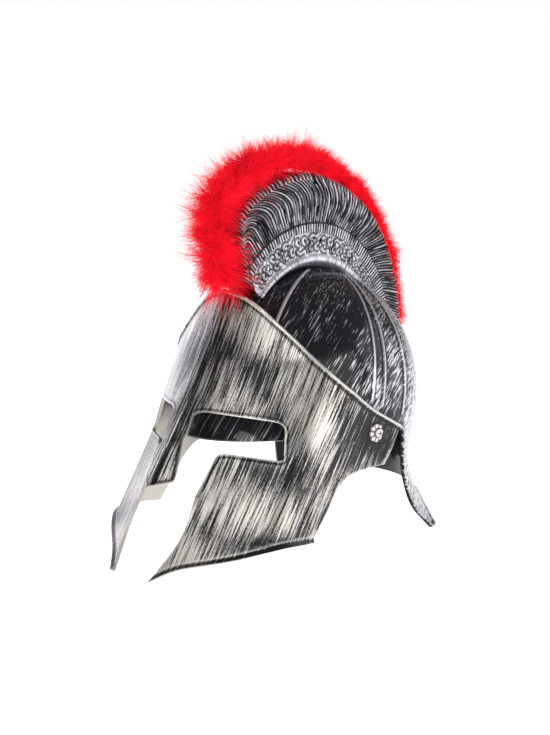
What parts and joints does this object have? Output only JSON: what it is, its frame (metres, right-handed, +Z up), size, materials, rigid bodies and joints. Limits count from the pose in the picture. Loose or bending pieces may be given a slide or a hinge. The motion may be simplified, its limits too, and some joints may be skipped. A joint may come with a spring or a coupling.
{
  "type": "spartan helmet",
  "caption": "Costume helmet in moulded plastic with a face visor, ribbed skull shell, tall fore-and-aft crest and a feather trim",
  "frame": {"origin": "the centre of the bounding box's base, on the surface the helmet stands on", "axes": "+X is the wearer's left, -Y is the way the face looks and +Z is up"},
  "size_m": [0.197, 0.3386, 0.3528],
  "materials": {
    "skull_shell": "black gloss plastic with sparse silver dry brushing",
    "face_visor": "black plastic with heavy silver dry brushing",
    "crest": "silver on raised ridges, black in the grooves",
    "rosette": "silver rubbed over black",
    "plume_trim": "fluffy dyed feather trim"
  },
  "bodies": {
    "root": {"skull_shell": "skull_shell", "face_visor": "face_visor", "crest_left": "crest", "crest_right": "crest", "rosette_left": "rosette", "rosette_right": "rosette", "plume_trim": "plume_trim"}
  },
  "joints": []
}
